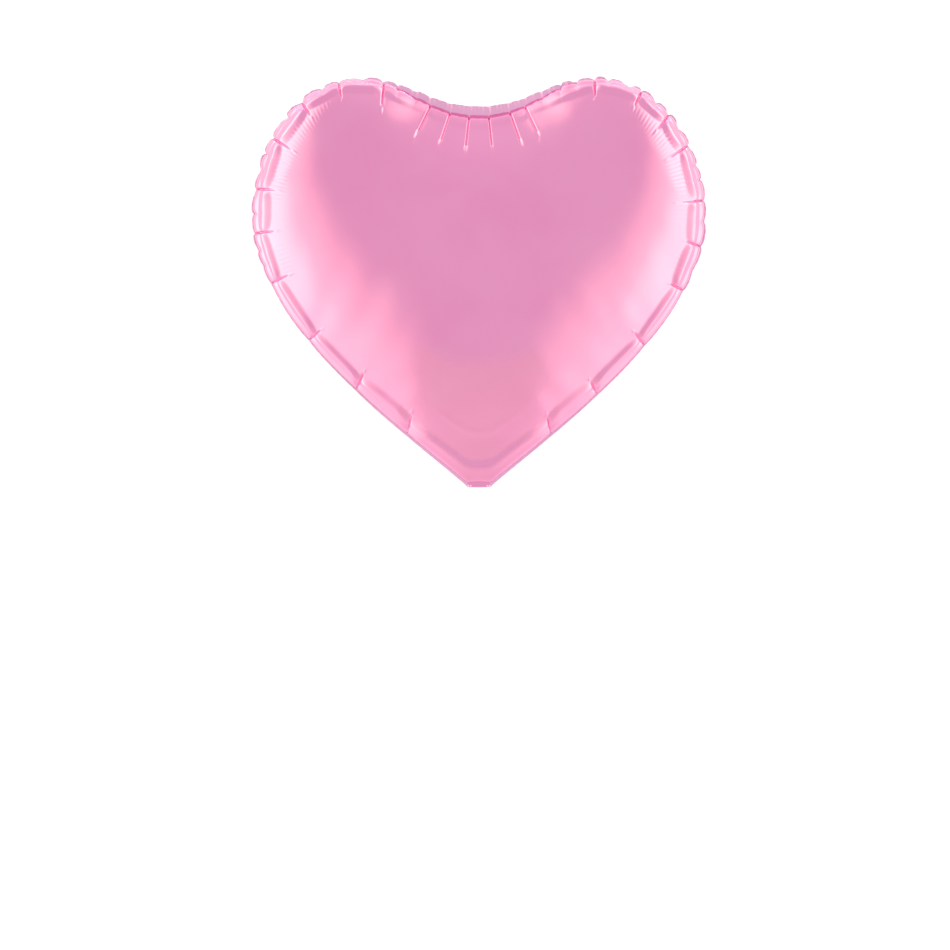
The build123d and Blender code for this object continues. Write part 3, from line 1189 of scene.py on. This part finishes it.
class BALLOON_OT_valve(bpy.types.Operator):
    """Build the valve's two clear films and their side welds, from inside the gas space to the mouth"""

    bl_idname = "balloon.valve"
    bl_label = "Valve"

    def execute(self, context):
        along = neck_stations(-VALVE_INSIDE_LENGTH, NECK_LENGTH - VALVE_SETBACK)
        across = np.linspace(-1, 1, VALVE_COLUMNS)
        material = shared("valve_clear_film", valve_material)
        for name, side, word in (("valve_inner_film", -1, "front"), ("valve_outer_film", 1, "back")):
            points = neck_sheet(along, across, side, VALVE_GAP, lambda s: VALVE_HALF_WIDTH + 0 * s)
            faces = grid_faces(len(along), len(across))
            made = piece(name, points, faces if side < 0 else faces[:, ::-1], material)
            across_fold(made, "valve_film", f"valve_neck_{word}_film", f"valve_inside_{word}_film")
        points, faces = edge_strip(
            along,
            lambda s: VALVE_HALF_WIDTH - VALVE_WELD_WIDTH + 0 * s,
            lambda s: VALVE_HALF_WIDTH + 0 * s,
            WELD_THICKNESS,
        )
        made = piece("valve_side_weld_strips", points, faces, material)
        across_fold(made, "valve_film", "valve_neck_side_welds", "valve_inside_side_welds")
        return {"FINISHED"}


# ---- The stage ----

LENS = 135.0
SENSOR = 36.0
VIEW_WIDTH = 0.832         # of the seam plane across the picture
AIM = Vector((-0.0035, 0, 0.0105))
FLOOR = -0.95
BACKDROP_POWER = 60.0
BACKDROP_SIZE = (3.0, 0.6)
BACKDROP_PLACE, BACKDROP_AIM = (0, 0.9, 1.6), (0, 0.8, -0.6)
PAPER_DARK, PAPER_LIGHT = (0.67, 0.67, 0.70, 1), (0.70, 0.70, 0.73, 1)


SOFT_BOXES = (             # direction, inner and outer half angle in degrees, added strength
    ((-1.0, 0.05, -0.10), 5, 35, 0.60),
    ((-1.0, 0.05, -0.07), 5, 66, 0.80),
    ((-0.70, 0.10, 0.70), 4, 30, 1.0),
    ((0.76, 0.05, 0.62), 4, 31, 1.2),
    ((0.98, 0.0, -0.18), 5, 35, 0.60),
    ((0.98, 0.0, -0.12), 5, 61, 0.65),
)
SOFT_BOX_TINT = (1.0, 0.99, 0.50, 1)
SURROUND_BACK, SURROUND_FRONT = 0.95, 0.82
GLOW_BEHIND = 0.28
SURROUND_RAMP, BOXES_END, GLOW_RAMP = (-0.7, 0.7), (0.36, 0.52), (0.0, 0.6)    # how far back, as directions
SWEEP_FRONT, SWEEP_BACK, SWEEP_SIDE = -1.2, 3.0, 1.0
SWEEP_RISE, SWEEP_BEND, SWEEP_TURNS = 3.0, 1.0, 12


def light_world():
    """Soft studio surround, dimmer in front, with slightly warm soft boxes to each side."""
    world = bpy.data.worlds.new("studio")
    bpy.context.scene.world = world
    world.use_nodes = True
    tree = world.node_tree
    surround = tree.nodes["Background"]
    surround.inputs["Color"].default_value = (1, 1, 1, 1)
    boxes = node(tree, "ShaderNodeBackground", Color=SOFT_BOX_TINT)
    both = tree.nodes.new("ShaderNodeAddShader")
    tree.links.new(surround.outputs["Background"], both.inputs[0])
    tree.links.new(boxes.outputs["Background"], both.inputs[1])
    tree.links.new(both.outputs["Shader"], tree.nodes["World Output"].inputs["Surface"])
    where = tree.nodes.new("ShaderNodeTexCoord").outputs["Generated"]
    split = tree.nodes.new("ShaderNodeSeparateXYZ")
    tree.links.new(where, split.inputs["Vector"])

    def ramp(value, low, high, at_low, at_high):
        """A value mapped smoothly from one range to another."""
        mapped = node(
            tree, "ShaderNodeMapRange", From_Min=low, From_Max=high, To_Min=at_low, To_Max=at_high
        )
        mapped.interpolation_type = "SMOOTHSTEP"
        tree.links.new(value, mapped.inputs["Value"])
        return mapped.outputs["Result"]

    def combined(operation, first, second):
        """Two values added or multiplied."""
        made = tree.nodes.new("ShaderNodeMath")
        made.operation = operation
        tree.links.new(first, made.inputs[0])
        tree.links.new(second, made.inputs[1])
        return made.outputs["Value"]

    shade = ramp(split.outputs["Y"], *SURROUND_RAMP, SURROUND_FRONT, SURROUND_BACK)
    tree.links.new(shade, surround.inputs["Strength"])
    glows = []
    for direction, inner, outer, bright in SOFT_BOXES:
        dot = tree.nodes.new("ShaderNodeVectorMath")
        dot.operation = "DOT_PRODUCT"
        dot.inputs[1].default_value = Vector(direction).normalized()
        tree.links.new(where, dot.inputs[0])
        low, high = math.cos(math.radians(outer)), math.cos(math.radians(inner))
        glows.append(ramp(dot.outputs["Value"], low, high, 0.0, bright))
    lit = functools.reduce(lambda a, b: combined("ADD", a, b), glows)
    ahead = ramp(split.outputs["Y"], *BOXES_END, 1.0, 0.0)
    behind = ramp(split.outputs["Y"], *GLOW_RAMP, 0.0, GLOW_BEHIND)
    tree.links.new(combined("ADD", combined("MULTIPLY", lit, ahead), behind), boxes.inputs["Strength"])


def backdrop_light():
    """A wide light above, turned away from the balloon, that whitens the paper behind it."""
    light = bpy.data.lights.new("backdrop_light", "AREA")
    light.shape = "RECTANGLE"
    light.size, light.size_y = BACKDROP_SIZE
    light.energy = BACKDROP_POWER
    made = bpy.data.objects.new("backdrop_light", light)
    bpy.context.scene.collection.objects.link(made)
    made.location = BACKDROP_PLACE
    made.rotation_euler = Vector(BACKDROP_AIM).to_track_quat("-Z", "Y").to_euler()


class BALLOON_OT_stage(bpy.types.Operator):
    """Set the floor, the lights and the camera"""

    bl_idname = "balloon.stage"
    bl_label = "Stage"

    def execute(self, context):
        scene = context.scene
        light_world()
        backdrop_light()
        camera = bpy.data.cameras.new("camera")
        camera.lens = LENS
        camera.sensor_width = SENSOR
        view = bpy.data.objects.new("camera", camera)
        scene.collection.objects.link(view)
        view.location = AIM - Vector((0, VIEW_WIDTH * LENS / SENSOR, 0))
        view.rotation_euler = (math.pi / 2, 0, 0)
        scene.camera = view
        scene.view_settings.view_transform = "Standard"
        material = bpy.data.materials.new("paper_sweep")
        material.use_nodes = True
        tree = material.node_tree
        shader = tree.nodes["Principled BSDF"]
        shader.inputs["Roughness"].default_value = 0.9
        fibre = node(tree, "ShaderNodeTexNoise", Scale=300.0, Detail=3.0)
        colour = between_colours(tree, fibre.outputs["Fac"], PAPER_DARK, PAPER_LIGHT)
        tree.links.new(colour, shader.inputs["Base Color"])
        flat_end = SWEEP_BACK - SWEEP_BEND
        profile = [(SWEEP_FRONT, FLOOR), (flat_end, FLOOR)]
        for k in range(1, SWEEP_TURNS + 1):
            angle = math.pi / 2 * k / SWEEP_TURNS
            rise = SWEEP_BEND * (1 - math.cos(angle))
            profile.append((flat_end + SWEEP_BEND * math.sin(angle), FLOOR + rise))
        profile.append((SWEEP_BACK, FLOOR + SWEEP_RISE))
        points = [(x, y, z) for y, z in profile for x in (-SWEEP_SIDE, SWEEP_SIDE)]
        faces = [(2 * k, 2 * k + 1, 2 * k + 3, 2 * k + 2) for k in range(len(profile) - 1)]
        piece("paper_sweep", points, faces, material)
        return {"FINISHED"}


class BALLOON_PT_panel(bpy.types.Panel):
    """Lists the balloon's pieces"""

    bl_idname = "BALLOON_PT_panel"
    bl_label = "Heart Foil Balloon"
    bl_space_type = "VIEW_3D"
    bl_region_type = "UI"
    bl_category = "Balloon"

    def draw(self, context):
        layout = self.layout
        for group in (context.scene.balloon_shape, context.scene.balloon_film):
            box = layout.box()
            for name in group.__annotations__:
                box.prop(group, name)
        for operator in OPERATORS:
            layout.operator(operator.bl_idname)


GROUPS = (BalloonFilm, BalloonShape)
OPERATORS = (
    BALLOON_OT_panels,
    BALLOON_OT_seal,
    BALLOON_OT_neck,
    BALLOON_OT_valve,
    BALLOON_OT_stage,
)


def register():
    """Registers the classes and the sizes that a user may change."""
    for made in GROUPS + OPERATORS + (BALLOON_PT_panel,):
        bpy.utils.register_class(made)
    bpy.types.Scene.balloon_film = PointerProperty(type=BalloonFilm)
    bpy.types.Scene.balloon_shape = PointerProperty(type=BalloonShape)


def unregister():
    """Takes them away again."""
    del bpy.types.Scene.balloon_shape
    del bpy.types.Scene.balloon_film
    for made in reversed(GROUPS + OPERATORS + (BALLOON_PT_panel,)):
        bpy.utils.unregister_class(made)


def main():
    """Builds the balloon and its stage."""
    register()
    bpy.ops.balloon.panels()
    bpy.ops.balloon.seal()
    bpy.ops.balloon.neck()
    bpy.ops.balloon.valve()
    bpy.ops.balloon.stage()


if __name__ == "__main__":
    main()
